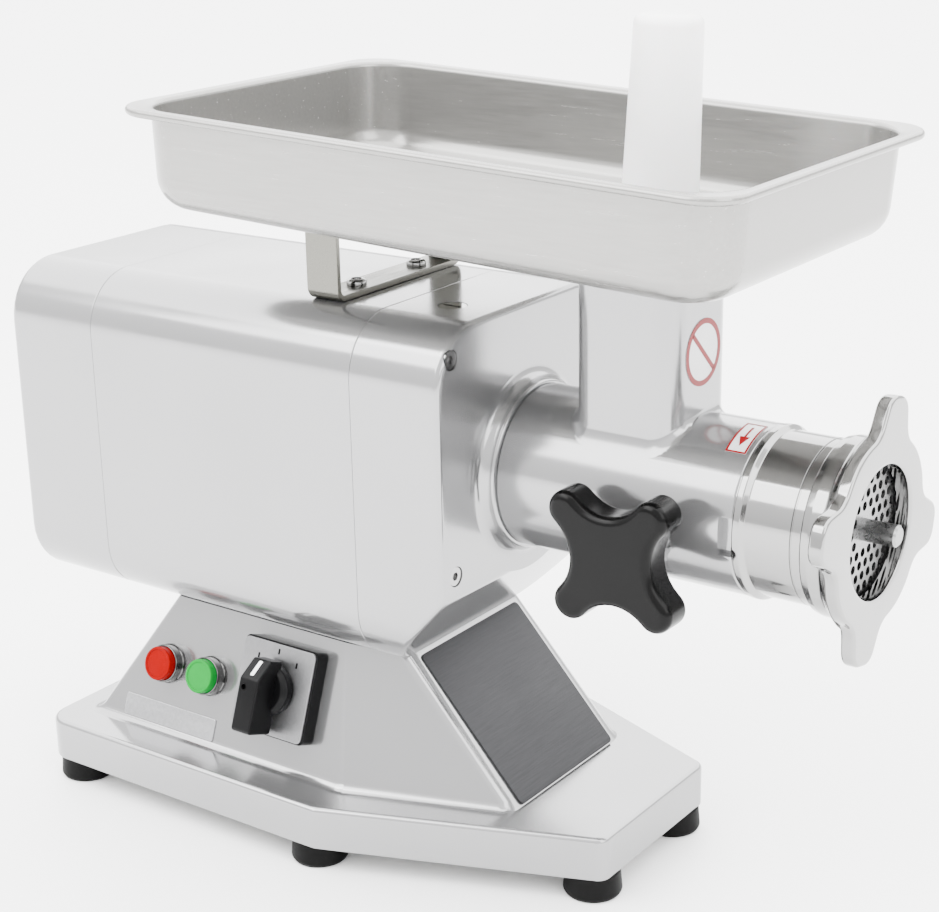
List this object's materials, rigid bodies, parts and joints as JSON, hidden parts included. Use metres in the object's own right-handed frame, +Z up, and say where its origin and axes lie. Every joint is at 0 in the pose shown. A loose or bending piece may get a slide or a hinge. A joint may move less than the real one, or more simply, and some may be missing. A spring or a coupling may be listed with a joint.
{
  "type": "electric meat grinder",
  "caption": "Bench meat grinder: polished cast housing on a footed pedestal base, brushed feed tray on a square neck, auger barrel with a wing nut, clamp knob, panel controls and a pusher.",
  "frame": {"origin": "middle of the footprint of the whole machine on the table", "axes": "+X towards the outlet, +Y to the side away from the control panel, +Z up"},
  "size_m": [0.472, 0.201, 0.414],
  "materials": {
    "base_plate": "polished casting",
    "bottom_cover": "brushed sheet",
    "rubber_feet": "moulded",
    "foot_screws": "polished",
    "pedestal": "polished casting",
    "slope_plate": "dark brushed sheet",
    "body_shell": "polished casting",
    "rear_cover": "polished casting",
    "front_cover": "polished casting",
    "cover_screws": "polished",
    "oil_plug": "polished",
    "rear_shield": "as cast",
    "gear_bulkhead": "as cast",
    "motor_tube": "as cast",
    "stator": "laminated",
    "windings": "enamelled wire",
    "motor_bearings": "ground",
    "rotor": "laminated",
    "motor_shaft": "ground",
    "motor_pinion": "cut teeth",
    "cooling_fan": "moulded",
    "intermediate_shaft": "ground",
    "intermediate_gear": "cut teeth",
    "intermediate_pinion": "cut teeth",
    "intermediate_bearings": "ground",
    "output_gear": "cut teeth",
    "output_shaft": "ground",
    "output_bearing": "ground",
    "oil_seal": "moulded",
    "grinding_head": "polished casting",
    "head_ring": "polished",
    "auger": "ground",
    "knife": "ground",
    "grinding_plate": "ground",
    "ring_nut": "polished",
    "clamp_boss": "polished casting",
    "clamp_knob": "moulded",
    "clamp_stud": "polished",
    "tray_bracket": "brushed sheet",
    "bracket_bolts": "polished",
    "tray": "brushed sheet",
    "pusher": "moulded",
    "red_bezel": "polished",
    "green_bezel": "polished",
    "red_button": "translucent",
    "green_button": "translucent",
    "button_contacts": "moulded",
    "switch_frame": "moulded",
    "switch_plate": "brushed",
    "switch_knob": "moulded",
    "switch_spindle": "polished",
    "switch_body": "moulded",
    "badge": "brushed",
    "capacitor": "as cast",
    "terminal_block": "moulded",
    "cable_gland": "moulded"
  },
  "bodies": {
    "frame": {"base_plate": "base_plate", "bottom_cover": "bottom_cover", "rubber_feet": "rubber_feet", "foot_screws": "foot_screws", "pedestal": "pedestal", "slope_plate": "slope_plate", "body_shell": "body_shell", "rear_cover": "rear_cover", "front_cover": "front_cover", "cover_screws": "cover_screws", "oil_plug": "oil_plug", "rear_shield": "rear_shield", "gear_bulkhead": "gear_bulkhead", "motor_tube": "motor_tube", "stator": "stator", "windings": "windings", "motor_bearings": "motor_bearings", "intermediate_bearings": "intermediate_bearings", "output_bearing": "output_bearing", "oil_seal": "oil_seal", "grinding_head": "grinding_head", "head_ring": "head_ring", "grinding_plate": "grinding_plate", "clamp_boss": "clamp_boss", "tray_bracket": "tray_bracket", "bracket_bolts": "bracket_bolts", "red_bezel": "red_bezel", "green_bezel": "green_bezel", "button_contacts": "button_contacts", "switch_frame": "switch_frame", "switch_plate": "switch_plate", "switch_body": "switch_body", "badge": "badge", "capacitor": "capacitor", "terminal_block": "terminal_block", "cable_gland": "cable_gland"},
    "rotor_group": {"rotor": "rotor", "motor_shaft": "motor_shaft", "motor_pinion": "motor_pinion", "cooling_fan": "cooling_fan"},
    "intermediate_group": {"intermediate_shaft": "intermediate_shaft", "intermediate_gear": "intermediate_gear", "intermediate_pinion": "intermediate_pinion"},
    "auger_group": {"output_gear": "output_gear", "output_shaft": "output_shaft", "auger": "auger", "knife": "knife"},
    "nut": {"ring_nut": "ring_nut"},
    "knob": {"clamp_knob": "clamp_knob", "clamp_stud": "clamp_stud"},
    "tray": {"tray": "tray"},
    "pusher": {"pusher": "pusher"},
    "red_push": {"red_button": "red_button"},
    "green_push": {"green_button": "green_button"},
    "selector": {"switch_knob": "switch_knob", "switch_spindle": "switch_spindle"}
  },
  "joints": [
    {"name": "rotor_spin", "type": "hinge", "parent": "frame", "child": "rotor_group", "pos_m": [-0.1, 0, 0.19], "axis": [1, 0, 0], "continuous": true},
    {"name": "intermediate_spin", "type": "hinge", "parent": "frame", "child": "intermediate_group", "pos_m": [0.01, 0.02291, 0.15197], "axis": [1, 0, 0], "continuous": true},
    {"name": "auger_spin", "type": "hinge", "parent": "frame", "child": "auger_group", "pos_m": [0.1, 0, 0.1977], "axis": [1, 0, 0], "continuous": true},
    {"name": "nut_turn", "type": "hinge", "parent": "frame", "child": "nut", "pos_m": [0.21, 0, 0.1977], "axis": [1, 0, 0], "range_deg": [0, 360]},
    {"name": "knob_turn", "type": "hinge", "parent": "frame", "child": "knob", "pos_m": [0.13, -0.06, 0.185], "axis": [0, -1, 0], "range_deg": [0, 360]},
    {"name": "tray_lift", "type": "slide", "parent": "frame", "child": "tray", "axis": [0, 0, 1], "range_m": [0, 0.12]},
    {"name": "pusher_slide", "type": "slide", "parent": "frame", "child": "pusher", "axis": [0, 0, 1], "range_m": [0, 0.15]},
    {"name": "red_press", "type": "slide", "parent": "frame", "child": "red_push", "axis": [0, 0.9355, -0.3534], "range_m": [0, 0.003], "stiffness_N_per_m": 400},
    {"name": "green_press", "type": "slide", "parent": "frame", "child": "green_push", "axis": [0, 0.9355, -0.3534], "range_m": [0, 0.003], "stiffness_N_per_m": 400},
    {"name": "selector_turn", "type": "hinge", "parent": "frame", "child": "selector", "pos_m": [-0.0648, -0.07149, 0.07618], "axis": [0, -0.9355, 0.3534], "range_deg": [-45, 45]}
  ],
  "couplings": [
    {"joint": "intermediate_spin", "follows": "rotor_spin", "ratio": -0.31111},
    {"joint": "auger_spin", "follows": "rotor_spin", "ratio": 0.11772}
  ]
}
